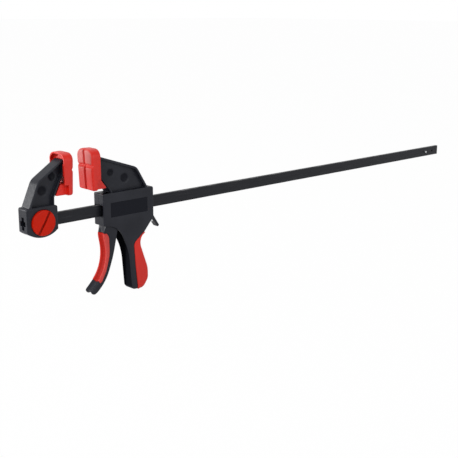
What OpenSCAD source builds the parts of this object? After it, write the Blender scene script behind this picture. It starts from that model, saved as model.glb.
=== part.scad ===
// Quick release bar clamp: fixed jaw with quarter-turn lock, trigger-driven sliding jaw.
// X runs along the bar from the lock axis, Z is up, Y is across the jaws.

/* [Bar] */
// Height of the bar section
bar_h = 20; // [18:0.5:22]
// Thickness of the bar section
bar_t = 6; // [5:0.5:7]
// Distance between the lock holes at the two ends of the bar
lock_pitch = 1063.5; // [500:0.5:1500]
// Bar left beyond each lock hole
bar_margin = 22; // [14:1:23]
// Diameter of the lock pin
lock_pin_d = 5; // [4:0.5:6]
// Diameter of the stop pin near the free end
stop_pin_d = 5; // [4:0.5:6]
// Distance from the free lock hole to the stop pin
stop_pin_inset = 29; // [27:1:60]
// Length of the stop pin that stands out of each side of the bar
stop_pin_proud = 4; // [2:0.5:5]

/* [Fixed jaw] */
// Lock axis to the closed end of the fixed jaw
base_back = 28; // [26:0.5:32]
// Lock axis to the mouth of the fixed jaw
base_front = 27.5; // [26:0.5:34]
// Fixed jaw base above the bar
base_over = 14.5; // [12:0.5:18]
// Lower corners of the base below the bar
base_under = 3.8; // [3:0.2:6]
// Depth of the curved underside below those corners
base_belly = 10.2; // [8:0.2:14]
// Width of the fixed jaw base
base_w = 26; // [24:0.5:32]
// Lock axis to the clamping face of the fixed pad
fixed_face_x = 52; // [50:0.5:58]

/* [Arms] */
// Width of both arms
arm_w = 24; // [20:0.5:25]
// Thickness of the web between the pockets
web_t = 10; // [6:0.5:14]
// Thickness of the outer flange of the sliding arm
flange_t = 4; // [2.5:0.5:5]
// Thickness of the outer flange of the fixed arm
fixed_flange_t = 3.2; // [2:0.2:5]
// Thickness of the flange on the pad side
inner_flange_t = 2.6; // [2:0.2:4]
// Radius of the large dish in each web
dish_r = 10; // [6:0.5:11]
// Radius of the small dish in each web
small_dish_r = 7.6; // [5:0.2:8]
// Depth of the dishes
dish_depth = 2.8; // [1:0.2:3]

/* [Pads] */
// Width of each pad
pad_w = 43; // [38:0.5:48]
// Bottom of the pads above the bar
pad_low = 27.8; // [27:0.2:30]
// Height of each pad
pad_h = 67.4; // [65:0.2:72]
// Depth of the hooded part of each pad at its foot
pad_depth = 15; // [14:0.5:17]
// Lean of the clamping faces towards each other
face_lean = 3.2; // [0:0.2:4]
// Thickness of the clamping plate
plate_t = 8; // [6:0.5:9]
// Wall of the pad hood
hood_t = 2.8; // [2:0.2:4]
// Height of the neck below the hood
neck_h = 18; // [14:0.5:20]
// Width of the neck below the hood
neck_w = 25; // [20:0.5:28]
// Reach of the fixed pad's neck behind the clamping face
fixed_neck_reach = 27; // [20:0.5:27]
// Reach of the sliding pad's neck behind the clamping face
slide_neck_reach = 32; // [24:0.5:32]
// Width of the groove for upright rods
groove_w = 5.4; // [3:0.2:7]
// Height of the groove for level rods
notch_h = 8.2; // [5:0.2:9]
// Depth of both grooves
groove_depth = 3.2; // [1:0.2:3.4]

/* [Sliding jaw] */
// Opening between the pads as drawn
opening = 38.5; // [15:0.5:400]
// Pad face to the front of the housing
house_x = 23; // [22:0.5:26]
// Length of the housing along the bar
house_l = 104; // [101:0.5:112]
// Housing above the bar
house_over = 19; // [18:0.5:22]
// Housing below the bar at its front
house_under = 15.3; // [14:0.5:18]
// Width of the housing
house_w = 27.2; // [26.6:0.2:32]
// Wall thickness of the shells
wall = 2.6; // [2.2:0.2:3]
// Bottom of the grip below the bar
grip_drop = 137.5; // [130:0.5:150]
// Edge radius of the housing
edge_r = 1.6; // [0.8:0.2:2]
// Edge radius of the grip
grip_r = 4.4; // [2:0.2:5]
// Height of the wide window around the bar
window_h = 18.8; // [14:0.2:19.4]
// Width of the wide window around the bar
window_w = 21.6; // [16:0.2:22]
// Depth of the bare panel in the side faces
panel_depth = 0.4; // [0.2:0.1:0.5]
// Length of the bare panel
panel_l = 76; // [50:1:80]
// Height of the bare panel
panel_h = 24.6; // [16:0.2:26]

/* [Trigger] */
// Width of the trigger
trigger_w = 20.8; // [16:0.2:21]
// Pad face to the trigger pivot
pivot_x = 35; // [34:0.25:36]
// Trigger pivot above the bar
pivot_over = 8.6; // [8.4:0.1:9]
// Diameter of the trigger pin
trigger_pin_d = 6; // [4:0.5:7]
// Radius of the trigger hub
hub_r = 6.4; // [5.4:0.1:6.8]
// Reach of the driving nose behind the pivot
nose_x = 10.7; // [10:0.1:11]
// Driving nose below the pivot
nose_drop = 30.6; // [29.6:0.2:31.4]
// Radius of the driving nose
nose_r = 4; // [3:0.1:4.4]
// Depth of the finger channel in the trigger
channel_depth = 2.4; // [1:0.2:3]

/* [Drive] */
// Thickness of one drive plate
drive_plate_t = 3.2; // [2:0.1:3.4]
// Width of the drive plates
drive_plate_w = 19; // [16:0.5:20]
// Drive plate reach above the bar
drive_plate_over = 10; // [6:0.5:13]
// Drive plate reach below the bar
drive_plate_under = 7; // [5:0.5:9]
// Wire diameter of the drive spring
drive_wire_d = 1.2; // [0.8:0.1:1.4]
// Turns of the drive spring
drive_turns = 7; // [4:1:9]
// Thickness of the spring seat
seat_t = 2; // [1.5:0.1:3]

/* [Release] */
// Thickness of the release lever
lever_t = 3.5; // [2.5:0.1:4]
// Width of the release lever
lever_w = 18; // [14:0.5:20]
// Tilt of the release lever while it holds the bar
lever_tilt = 8; // [6:0.5:10]
// Fulcrum of the release lever before the rear of the housing
fulcrum_inset = 12; // [11:0.25:14]
// Spring seat before the fulcrum
seat_inset = 18.3; // [17.6:0.1:20]
// Fulcrum below the bar
fulcrum_under = 9.5; // [8.5:0.25:10.5]
// Release lever reach above the bar
lever_over = 11; // [8:0.5:12]
// Width of the tail tab
tab_w = 13; // [9:0.5:16]
// Length of the tab outside the housing
tab_l = 21; // [14:0.5:26]
// Wire diameter of the release spring
release_wire_d = 0.9; // [0.6:0.1:1.1]

/* [Lock] */
// Radius of the lock knob
knob_r = 20.5; // [16:0.5:21]
// Height of the lock knob above the jaw face
knob_proud = 4.6; // [2:0.2:6]
// Width of the coin slot
slot_w = 3.6; // [2:0.2:4]
// Depth of the coin slot
slot_depth = 2; // [1:0.2:2.4]
// Angle of the coin slot as drawn
slot_angle = 58; // [0:1:90]

/* [Screws] */
// Shank diameter of the shell screws
screw_d = 3.5; // [2.9:0.1:4]
// Head diameter of the shell screws
screw_head_d = 6.2; // [5.6:0.1:6.6]

/* [Clearances] */
// Sliding clearance around the bar on each side
bar_gap = 0.3; // [0.2:0.05:0.5]
// Radial clearance of pins that turn
pin_gap = 0.05; // [0.02:0.01:0.1]
// Seating clearance between pieces that are fixed together
seat_gap = 0.3; // [0.1:0.05:0.4]
// Clearance between pieces that pass each other
run_gap = 0.5; // [0.3:0.05:0.7]

/* [Hidden] */

charcoal = [0.17, 0.17, 0.19];
red = [0.80, 0.16, 0.13];
steel = [0.62, 0.63, 0.65];
black_steel = [0.20, 0.20, 0.22];

eps = 0.01;
round_fn = 96;
far_away = 60;

bar_top = bar_h / 2;
bar_low = -bar_h / 2;
bar_x0 = -bar_margin;
bar_x1 = lock_pitch + bar_margin;
slot_h = bar_h + 2 * bar_gap;
slot_t = bar_t + 2 * bar_gap;

// Heights are counted from the bar, so the jaws follow its section.
function over(h) = bar_top + h;
function under(h) = bar_low - h;

// ---- outlines: each corner is [x, z, corner radius, edge radius] ----

function unit(v) = v / norm(v);
function plane(p) = [p[0], p[1]];

// Signed area, positive when the outline runs anticlockwise.
function area2(p) = let(n = len(p))
    sum([for (i = [0:n - 1]) p[i][0] * p[(i + 1) % n][1] - p[(i + 1) % n][0] * p[i][1]]);
function sum(v, i = 0) = i < len(v) ? v[i] + sum(v, i + 1) : 0;
function reversed(v) = [for (i = [len(v) - 1:-1:0]) v[i]];

// Turn of one step along an arc: small steps for wide sweeping curves.
function arc_step(r) = r > 25 ? 5 : r > 7 ? 10 : 15;

// Arc that rounds corner b between a and c, as [x, z, edge radius] points.
function corner_arc(a, b, c) =
    let(u = unit(plane(a) - plane(b)), v = unit(plane(c) - plane(b)), r = b[2],
        half = acos(max(-1, min(1, u * v))) / 2, back = r / tan(half),
        centre = plane(b) + unit(u + v) * r / sin(half),
        p0 = plane(b) + u * back - centre, turn = cross([-u[0], -u[1]], v) > 0 ? 1 : -1,
        sweep = 180 - 2 * half, steps = max(1, ceil(sweep / arc_step(r))))
    [for (k = [0:steps]) let(t = turn * sweep * k / steps)
        [centre[0] + p0[0] * cos(t) - p0[1] * sin(t),
         centre[1] + p0[0] * sin(t) + p0[1] * cos(t), b[3]]];

function rounded(corners) = let(n = len(corners), p = [for (i = [0:n - 1])
    let(b = corners[i])
    each b[2] > 0 ? corner_arc(corners[(i + n - 1) % n], b, corners[(i + 1) % n])
                  : [[b[0], b[1], b[3]]]])
    area2(p) > 0 ? p : reversed(p);

// Inward direction at point i, lengthened so that both edges move in by one unit.
function inward(p, i) = let(n = len(p), a = plane(p[(i + n - 1) % n]), b = plane(p[i]),
    c = plane(p[(i + 1) % n]), u = unit(b - a), v = unit(c - b),
    nu = [-u[1], u[0]], nv = [-v[1], v[0]]) (nu + nv) / (1 + nu * nv);

// Corner i of an outline whose edges move inwards, the edge after corner i by d[i].
function moved_corner(c, d, i, r) = let(n = len(c), h = (i + n - 1) % n,
    a = plane(c[h]), b = plane(c[i]), e = plane(c[(i + 1) % n]),
    u = unit(b - a), v = unit(e - b), p = a + [-u[1], u[0]] * d[h], q = b + [-v[1], v[0]] * d[i],
    w = p + u * cross(q - p, v) / cross(u, v)) [w[0], w[1], r, c[i][3]];

function moved(c, d, radii) = [for (i = [0:len(c) - 1]) moved_corner(c, d, i, radii[i])];

function flat_layer(outline, height) = [for (p = outline) [p[0], p[1], height]];

// Layers that round the edge at the given height by each point's own radius.
function top_layers(outline, height, rings) = [
    for (k = [0:rings]) let(a = 90 * k / rings) for (i = [0:len(outline) - 1])
        let(r = outline[i][2], q = plane(outline[i]) + inward(outline, i) * r * (1 - cos(a)))
        [q[0], q[1], height - r + r * sin(a)]];

function low_layers(outline, height, rings) = [
    for (k = [rings:-1:0]) let(a = 90 * k / rings) for (i = [0:len(outline) - 1])
        let(r = outline[i][2], q = plane(outline[i]) + inward(outline, i) * r * (1 - cos(a)))
        [q[0], q[1], -(height - r + r * sin(a))]];

// Outline grown outwards by d.
function grown(outline, d) = [for (i = [0:len(outline) - 1])
    let(q = plane(outline[i]) - inward(outline, i) * d) [q[0], q[1], outline[i][2]]];

// Twice the area of a triangle, positive when it runs anticlockwise.
function turn2(a, b, c) = cross(b - a, c - a);

function is_ear(o, h, i, j, ring) = let(a = o[h], b = o[i], c = o[j])
    turn2(a, b, c) > 1e-6
    && len([for (k = ring) if (k != h && k != i && k != j && turn2(a, b, o[k]) > -1e-9
        && turn2(b, c, o[k]) > -1e-9 && turn2(c, a, o[k]) > -1e-9) k]) == 0;

function first_ear(o, ring, i = 0) = let(n = len(ring))
    i >= n - 1 || is_ear(o, ring[(i + n - 1) % n], ring[i], ring[(i + 1) % n], ring) ? i
        : first_ear(o, ring, i + 1);

// Triangles of an anticlockwise outline, as indices of its points.
function ears(o, ring, done = []) = let(n = len(ring))
    n < 3 ? done
    : let(i = first_ear(o, ring)) ears(o, [for (k = [0:n - 1]) if (k != i) ring[k]],
        concat(done, [[ring[(i + n - 1) % n], ring[i], ring[(i + 1) % n]]]));

function cap(points, first, n) = [for (t = ears([for (i = [0:n - 1]) plane(points[first + i])],
    [for (i = [0:n - 1]) i])) [t[0] + first, t[1] + first, t[2] + first]];

// Skin over layers of n points each, closed at both ends.
module skin(points, n) {
    layers = len(points) / n - 1;
    faces = concat(
        cap(points, 0, n),
        [for (k = [0:layers - 1]) for (i = [0:n - 1]) let(j = (i + 1) % n, a = k * n, b = a + n)
            each [[a + i, b + i, b + j], [a + i, b + j, a + j]]],
        [for (t = cap(points, layers * n, n)) reversed(t)]);
    polyhedron(points, faces, convexity = 8);
}

// Half slab from near the bar's plane outwards, its outer edge rounded.
module half_slab(outline, start, half, rings = 3) {
    skin(concat(flat_layer(outline, start), top_layers(outline, half, rings)), len(outline));
}

// Whole slab across the bar's plane, both edges rounded.
module full_slab(outline, half, rings = 3) {
    rotate([90, 0, 0])
        skin(concat(low_layers(outline, half, rings), top_layers(outline, half, rings)),
            len(outline));
}

// Stands an outline of [x, z] points up so that its depth runs towards -Y or +Y.
module toward_near() { rotate([90, 0, 0]) children(); }
module toward_far() { mirror([0, 1, 0]) rotate([90, 0, 0]) children(); }

// Straight prism over an outline, centred on the bar's plane.
module prism(outline, width) {
    rotate([90, 0, 0]) linear_extrude(width, center = true)
        polygon([for (p = outline) plane(p)]);
}

module cross_cylinder(x, z, r, width) {
    translate([x, 0, z]) rotate([90, 0, 0])
        cylinder(h = width, r = r, center = true, $fn = round_fn);
}

module box(low, high) {
    translate(low) cube(high - low);
}

// ---- bar ----

module bar() color(black_steel) difference() {
    box([bar_x0, -bar_t / 2, bar_low], [bar_x1, bar_t / 2, bar_top]);
    for (x = [0, lock_pitch]) cross_cylinder(x, 0, lock_pin_d / 2 + pin_gap, 2 * bar_t);
    cross_cylinder(lock_pitch - stop_pin_inset, 0, stop_pin_d / 2, 2 * bar_t);
}

module bar_stop_pin() color(steel)
    cross_cylinder(lock_pitch - stop_pin_inset, 0, stop_pin_d / 2, bar_t + 2 * stop_pin_proud);

// ---- arms, corners anticlockwise from the foot ----

head_set = plate_t + seat_gap;

fixed_arm = [
    [-25.2, over(8.5), 0, edge_r],
    [22.9, over(8.5), 0, edge_r],
    [23.2, over(27), 5, edge_r],
    [fixed_face_x - 17.5, over(49.5), 3, edge_r],
    [fixed_face_x - head_set, over(64), 2, edge_r],
    [fixed_face_x - head_set, over(86.7), 2.4, edge_r],
    [-4.8, over(54.9), 19, edge_r]];

fixed_pocket = moved(fixed_arm, [base_over - 8, inner_flange_t, inner_flange_t, inner_flange_t,
    inner_flange_t, fixed_flange_t, fixed_flange_t], [1.5, 1.5, 6, 4, 3, 2, 15]);

slide_arm = [
    [42, over(15), 0, edge_r],
    [119, over(15), 0, edge_r],
    [94.6, over(56), 16, edge_r],
    [head_set, over(85.3), 2.4, edge_r],
    [head_set, over(66), 2, edge_r],
    [17, over(50), 3, edge_r],
    [38.5, over(22.5), 5, edge_r]];

slide_pocket = moved(slide_arm, [house_over - 14.7, flange_t, flange_t, inner_flange_t,
    inner_flange_t, inner_flange_t, inner_flange_t], [1.5, 1.5, 12, 2, 3, 4, 6]);

// Shallow round dish cut into the web's face from both sides.
module dishes(x, z, r) {
    sphere_r = (r * r + dish_depth * dish_depth) / (2 * dish_depth);
    for (side = [-1, 1])
        translate([x, side * (web_t / 2 + sphere_r - dish_depth), z])
            sphere(r = sphere_r, $fn = round_fn);
}

module arm_pockets(pocket, large, small) {
    for (side = [-1, 1])
        translate([0, side * (web_t / 2 + far_away / 2), 0]) prism(rounded(pocket), far_away);
    intersection() {
        prism(rounded(pocket), arm_w + 2);
        union() {
            dishes(large[0], large[1], dish_r);
            dishes(small[0], small[1], small_dish_r);
        }
    }
}

// ---- fixed jaw ----

belly_half = (base_front + base_back) / 2;
belly_r = (belly_half * belly_half + base_belly * base_belly) / (2 * base_belly);
belly_a = asin(belly_half / belly_r);
belly_x = (base_front - base_back) / 2;

base_outline = [
    [-base_back, over(base_over), 3, edge_r],
    [-base_back, under(base_under), 0, edge_r],
    for (a = [-belly_a + 6:6:belly_a - 3])
        [belly_x + belly_r * sin(a),
         under(base_under + base_belly) + belly_r * (1 - cos(a)), 0, edge_r],
    [base_front, under(base_under), 0, edge_r],
    [base_front, over(base_over), 3.5, edge_r]];

knob_seat = 1;
clip_seat = 2.6;
clip_seat_r = 7;

module fixed_jaw() color(charcoal) difference() {
    union() {
        full_slab(rounded(base_outline), base_w / 2);
        difference() {
            full_slab(rounded(fixed_arm), arm_w / 2);
            arm_pockets(fixed_pocket, [6, over(38.4)], [24.5, over(59)]);
        }
    }
    box([-far_away, -slot_t / 2, -slot_h / 2], [far_away, slot_t / 2, slot_h / 2]);
    box([-far_away, -bar_t / 2 - stop_pin_proud - run_gap, -stop_pin_d / 2 - 3 * run_gap],
        [far_away, bar_t / 2 + stop_pin_proud + run_gap, stop_pin_d / 2 + 3 * run_gap]);
    cross_cylinder(0, 0, lock_pin_d / 2 + pin_gap, 2 * base_w);
    translate([0, -base_w / 2 - 1, 0]) rotate([-90, 0, 0])
        cylinder(h = knob_seat + 1, r = knob_r + run_gap, $fn = round_fn);
    translate([0, base_w / 2 - clip_seat, 0]) rotate([-90, 0, 0])
        cylinder(h = clip_seat + 1, r = clip_seat_r, $fn = round_fn);
}

// ---- lock ----

washer_t = 0.6;
knob_back = -base_w / 2 + knob_seat - washer_t;
knob_face = -base_w / 2 - knob_proud;
knob_dome = 0.9;
pin_socket = 1.8;
clip_t = 1;
clip_y = base_w / 2 - clip_seat + seat_gap;

module lock_knob() color(red) difference() {
    translate([0, knob_back, 0]) rotate([90, 0, 0]) rotate_extrude($fn = round_fn)
        polygon([[0, 0], [knob_r, 0], [knob_r, knob_back - knob_face - 1.8],
            [knob_r - 0.5, knob_back - knob_face - 1], [knob_r - 1.6, knob_back - knob_face - 0.5],
            [knob_r * 0.6, knob_back - knob_face + knob_dome * 0.4 - 0.4],
            [0, knob_back - knob_face + knob_dome - 0.4]]);
    rotate([0, -slot_angle, 0])
        box([-knob_r * 0.96, knob_face - knob_dome - 1, -slot_w / 2],
            [knob_r * 0.96, knob_face + slot_depth, slot_w / 2]);
    translate([0, knob_back - pin_socket, 0]) rotate([-90, 0, 0])
        cylinder(h = pin_socket + 1, r = lock_pin_d / 2, $fn = round_fn);
}

module knob_washer() color(steel)
    translate([0, knob_back, 0]) rotate([-90, 0, 0]) difference() {
        cylinder(h = washer_t, r = knob_r * 0.45, $fn = round_fn);
        translate([0, 0, -1])
            cylinder(h = washer_t + 2, r = lock_pin_d / 2 + pin_gap, $fn = round_fn);
    }

clip_groove = 0.5;

module lock_pin() color(steel) difference() {
    translate([0, knob_back - pin_socket, 0]) rotate([-90, 0, 0])
        cylinder(h = clip_y + clip_t + 0.8 - knob_back + pin_socket, r = lock_pin_d / 2,
            $fn = round_fn);
    translate([0, clip_y, 0]) rotate([-90, 0, 0]) difference() {
        cylinder(h = clip_t, r = lock_pin_d, $fn = round_fn);
        translate([0, 0, -1])
            cylinder(h = clip_t + 2, r = lock_pin_d / 2 - clip_groove, $fn = round_fn);
    }
}

// Open clip that snaps into the groove of the lock pin.
module lock_clip() color(steel) translate([0, clip_y, 0]) rotate([-90, 0, 0]) difference() {
    cylinder(h = clip_t, r = lock_pin_d / 2 + 2.2, $fn = round_fn);
    translate([0, 0, -1])
        cylinder(h = clip_t + 2, r = lock_pin_d / 2 - clip_groove, $fn = round_fn);
    box([-lock_pin_d / 2 + clip_groove + 0.2, 0, -1],
        [lock_pin_d / 2 - clip_groove - 0.2, far_away, clip_t + 1]);
}

// ---- pads, drawn with the foot of the clamping face at x = 0 and the body towards +X ----

pad_foot = over(pad_low);
pad_top = over(pad_low + pad_h);
neck_top = over(pad_low + neck_h);
notch_z = over(68.4);

pad_outline = [
    [-pad_w / 2, pad_foot, 4, 3],
    [pad_w / 2, pad_foot, 4, 3],
    [pad_w / 2, pad_top, 13, 4],
    [-pad_w / 2, pad_top, 13, 4]];

// The clamping face leans out with height, so the plate is thicker at its top.
function leaning(p) = [p[0], p[1], p[2] * (1 + tan(face_lean) * (p[1] - pad_foot) / plate_t)];

module clamping_plate() {
    o = rounded(pad_outline);
    layers = concat(flat_layer(o, 0), top_layers(o, plate_t, 4));
    translate([plate_t, 0, 0]) rotate([90, 0, -90])
        skin([for (p = layers) leaning(p)], len(o));
}

// Wall of the hood behind the plate, open to the back.
module hood() {
    outer = pad_w / 2 - 0.15;
    inner = pad_w / 2 - hood_t;
    o = [[-outer, neck_top - 1, 0, 0], [outer, neck_top - 1, 0, 0],
         [outer, pad_top - 0.15, 13, 0], [-outer, pad_top - 0.15, 13, 0]];
    c = [[-inner, neck_top + seat_gap, 2, 0], [inner, neck_top + seat_gap, 2, 0],
         [inner, pad_top - hood_t, 11, 0], [-inner, pad_top - hood_t, 11, 0]];
    translate([plate_t - 1.5, 0, 0]) rotate([90, 0, 90])
        linear_extrude(pad_depth - plate_t + 1.5) difference() {
            polygon([for (p = rounded(o)) plane(p)]);
            polygon([for (p = rounded(c)) plane(p)]);
    }
}

function neck_corners(reach, shoulder) = [
    [plate_t - 1, pad_foot + seat_gap, 0, 0],
    [reach, pad_foot + seat_gap, 1.5, 1],
    [shoulder, neck_top, 2.5, 1],
    [plate_t - 1, neck_top, 0, 0]];

rib_t = 2;

// Ribs inside the hood that clip around the head of the arm.
module head_ribs() {
    for (side = [-1, 1]) translate([0, side * (arm_w / 2 + seat_gap + rib_t / 2), 0])
        box([plate_t - 2, -rib_t / 2, over(58)], [plate_t + 4.5, rib_t / 2, over(78)]);
}

module grooves() {
    translate([0, 0, pad_foot]) rotate([0, -face_lean, 0]) {
        translate([0, 0, -5]) linear_extrude(2 * far_away)
            polygon([[-1, -groove_w / 2], [0, -groove_w / 2], [groove_depth, -groove_w / 4],
                [groove_depth, groove_w / 4], [0, groove_w / 2], [-1, groove_w / 2]]);
        rotate([90, 0, 0]) linear_extrude(2 * far_away, center = true)
            polygon([[-1, notch_z - pad_foot - notch_h / 2], [0, notch_z - pad_foot - notch_h / 2],
                [groove_depth, notch_z - pad_foot], [0, notch_z - pad_foot + notch_h / 2],
                [-1, notch_z - pad_foot + notch_h / 2]]);
    }
}

module pad(reach, shoulder) {
    difference() {
        union() {
            clamping_plate();
            hood();
            full_slab(rounded(neck_corners(reach, shoulder)), neck_w / 2, 2);
            head_ribs();
        }
        grooves();
    }
}

module fixed_pad() color(red) translate([fixed_face_x, 0, 0]) mirror([1, 0, 0])
    pad(fixed_neck_reach, 17.2);

// ---- sliding jaw, drawn with its pad face at x = 0 ----

jaw_x = fixed_face_x + opening;
module at_jaw() { translate([jaw_x, 0, 0]) children(); }

house_back = house_x + house_l;
house_top = over(house_over);
grip_low = under(grip_drop);
inner_half = house_w / 2 - wall;

shell_outline = [
    [house_x, under(house_under), 2, edge_r],
    [55, under(21), 38, edge_r],
    [73.5, under(70), 100, grip_r],
    [78.8, grip_low, 8, grip_r],
    [103, grip_low, 14, grip_r],
    [113.8, grip_low + 15.5, 16, grip_r],
    [113.6, grip_low + 34.5, 40, grip_r],
    [96.4, under(53), 20, grip_r],
    [house_back, under(14.5), 2, edge_r],
    [house_back, house_top, 3, edge_r],
    [house_x, house_top, 2, edge_r]];

// Cover boundary on the side of the grip, closed in front of it.
cover_x = 84;
cover_front = [
    [cover_x - 40, grip_low - 5, 0, 0],
    [cover_x + 6, grip_low - 5, 0, 0],
    [cover_x + 1.5, under(95), 60, 0],
    [cover_x - 1, under(54), 12, 0],
    [cover_x + 20, under(38), 0, 0],
    [cover_x + 60, under(38), 0, 0],
    [cover_x + 60, under(20), 0, 0],
    [cover_x - 40, under(20), 0, 0]];

// Core of the grip that the cover slides over.
cover_t = 4;
core_half = house_w / 2 - cover_t;
core_outline = [
    [cover_x - 2, under(128), 3, 0],
    [105, under(128), 8, 0],
    [109.4, under(106), 30, 0],
    [99.6, under(60), 12, 0],
    [103, under(50), 3, 0],
    [cover_x - 2, under(50), 0, 0]];

// Hollows that both shells share.
room_ceiling = house_top - wall;
plates_x = pivot_x + nose_x + nose_r + 0.4;
plates_end = plates_x + 2 * drive_plate_t;
drive_stroke = 9.81;
spring_x = plates_end + 0.1;
lever_x = house_back - fulcrum_inset;
seat_x = lever_x - seat_inset;
drive_spring_l = seat_x - 0.1 - spring_x;
seat_half = 16;
spring_room_r = norm([bar_h, bar_t]) / 2 + drive_wire_d + 0.65;

// Room that the trigger swings in, open through the front edge of the grip.
trigger_room = [
    [house_x + wall, room_ceiling, 1, 0],
    [house_x + wall, under(60), 0, 0],
    [68, grip_low - 6, 0, 0],
    [cover_x - 2.5, grip_low - 6, 0, 0],
    [cover_x - 4, under(56), 12, 0],
    [91, under(24), 6, 0],
    [86, under(13.5), 3, 0],
    [72, under(7), 0, 0],
    [plates_x - 4.5, under(6), 0, 0],
    [plates_x - 4.5, room_ceiling, 1, 0]];

lever_z = under(fulcrum_under);
lever_top = over(lever_over);
lever_lean = (lever_top - lever_z) * tan(lever_tilt);

// Way of the release lever's tail through the lower rear corner.
tail_way = [
    [lever_x - 4, lever_z - 2.6, 0, 0],
    [lever_x + 2.5, lever_z - 6.5, 1, 0],
    [lever_x + 6.8, lever_z - 17, 0, 0],
    [lever_x + 30, lever_z - 17, 0, 0],
    [lever_x + 30, lever_z + 2, 0, 0],
    [lever_x - 4, lever_z + 2, 0, 0]];

module hollows() {
    prism(rounded(trigger_room), 2 * inner_half);
    box([plates_x - 5, -inner_half, under(drive_plate_under + 1.5)],
        [plates_x - 0.5, inner_half, over(3)]);
    box([plates_x - 0.5, -inner_half, under(drive_plate_under + 1.5)],
        [plates_end + drive_stroke + 1, inner_half, over(drive_plate_over + 1.5)]);
    translate([plates_x, 0, 0]) rotate([0, 90, 0])
        cylinder(h = seat_x - plates_x + 0.5, r = spring_room_r, $fn = round_fn);
    box([seat_x - 0.1, -inner_half, -seat_half - seat_gap],
        [seat_x + seat_t + 0.1, inner_half, seat_half + seat_gap]);
    box([lever_x - lever_lean - lever_t / 2 - 3, -lever_w / 2 - run_gap, lever_z - 2.6],
        [house_back - wall, lever_w / 2 + run_gap, lever_top + 1]);
    prism(rounded(tail_way), tab_w + 2 * run_gap);
}

// Shell screws: x, z, height of the head seat and of the tip across the bar's plane.
screw_places = [
    [58.5, over(40), 2.6, -3.8],
    [72.5, over(11.6), 5, -8],
    [92, over(11.6), 5, -8],
    [104, under(22), 5, -8],
    [93, under(102), 3, -6]];

module bar_way() {
    box([-far_away, -slot_t / 2, -slot_h / 2], [3 * far_away, slot_t / 2, slot_h / 2]);
    box([house_x - 1, -window_w / 2, -window_h / 2],
        [house_x + wall + 1, window_w / 2, window_h / 2]);
}

pivot_z = over(pivot_over);

module panel(side) {
    x0 = house_x + 14.5;
    translate([0, side * house_w / 2, 0])
        box([x0, -panel_depth, -panel_h / 2], [x0 + panel_l, panel_depth, panel_h / 2]);
}

seam = 0.2;

module shell_half() {
    half_slab(rounded(shell_outline), 0, house_w / 2);
    half_slab(rounded(slide_arm), seam / 2, arm_w / 2);
}

// Everything that is cut from both shells alike.
module shell_cuts() {
    arm_pockets(slide_pocket, [73.2, over(39.6)], [45, over(51.6)]);
    hollows();
    bar_way();
    difference() {
        prism([[cover_x - 20, under(30)], [cover_x + 60, under(30)], [cover_x + 60, grip_low - 9],
            [cover_x - 20, grip_low - 9]], far_away);
        prism(rounded(cover_front), 2 * far_away);
        prism(rounded(core_outline), 2 * core_half);
    }
    cross_cylinder(pivot_x, pivot_z, trigger_pin_d / 2 + pin_gap, 2 * (house_w / 2 - 1));
}

module near_shell() color(charcoal) at_jaw() difference() {
    toward_near() shell_half();
    shell_cuts();
    panel(-1);
    for (s = screw_places) translate([s[0], 0, s[1]]) rotate([90, 0, 0]) translate([0, 0, -1])
        cylinder(h = 1.4 - s[3], r = screw_d / 2, $fn = round_fn);
}

module far_shell() color(charcoal) at_jaw() difference() {
    toward_far() shell_half();
    shell_cuts();
    panel(1);
    for (s = screw_places) translate([s[0], 0, s[1]]) rotate([-90, 0, 0]) {
        translate([0, 0, -1]) cylinder(h = s[2] + 2, r = screw_d / 2 + 0.2, $fn = round_fn);
        translate([0, 0, s[2]])
            cylinder(h = far_away, r = screw_head_d / 2 + 0.3, $fn = round_fn);
    }
}

head_t = 2.2;

module shell_screws() color(steel) at_jaw() for (s = screw_places)
    translate([s[0], 0, s[1]]) rotate([-90, 0, 0]) difference() {
        union() {
            translate([0, 0, s[3]])
                cylinder(h = s[2] - s[3] + 0.5, r = screw_d / 2, $fn = round_fn);
            translate([0, 0, s[2]]) cylinder(h = head_t, r = screw_head_d / 2, $fn = round_fn);
        }
        for (a = [0, 90]) rotate([0, 0, a]) translate([0, 0, s[2] + head_t])
            cube([screw_head_d * 0.6, 0.9, 2], center = true);
    }

module sliding_pad() color(red) at_jaw() pad(slide_neck_reach, 19.2);

cover_gap = 0.7;
cover_swell = 0.3;

cover_outline = [
    [cover_x + 6, grip_low, 0, 1.5],
    [103, grip_low, 14, grip_r],
    [113.8, grip_low + 15.5, 16, grip_r],
    [113.6, grip_low + 34.5, 40, grip_r],
    [96.4, under(53), 19.7, grip_r],
    [107.8, under(38.6), 0, 1],
    [103.2, under(38.6), 0, 0.4],
    [cover_x - 1, under(54), 12.7, 0.4],
    [cover_x + 1.5, under(95), 60, 0.4]];

module grip_cover() color(red) at_jaw() difference() {
    full_slab(rounded(moved(cover_outline, [-cover_swell, -cover_swell, -cover_swell,
        -cover_swell, -cover_swell, 0, cover_gap, cover_gap, cover_gap],
        [0, 14, 16, 40, 19.7, 0, 0, 12.7, 60])), house_w / 2 + cover_swell);
    prism([for (p = grown(rounded(core_outline), seat_gap)) plane(p)],
        2 * (core_half + seat_gap));
}

// ---- trigger ----

fork_gap = 1;
fork_r = 38.6;
handle_top = under(11);

handle_corners = [
    [44.6, handle_top, 0, 1],
    [29.4, handle_top, 0, 1],
    [29.4, under(15.5), 5, 1],
    [24.6, under(31), 26, 3],
    [30.4, under(61), 76, 3],
    [23.5, under(97), 68, 3],
    [-4.6, under(124.3), 4, 3],
    [2.6, under(131.8), 6, 3],
    [25.5, under(115), 78, 2.4],
    [44.4, under(68), 240, 2.4],
    [52.8, under(26), 3, 1],
    [52.9, under(18.2), 1.6, 0.8],
    [44.6, under(15.4), 0, 0.8]];

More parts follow.
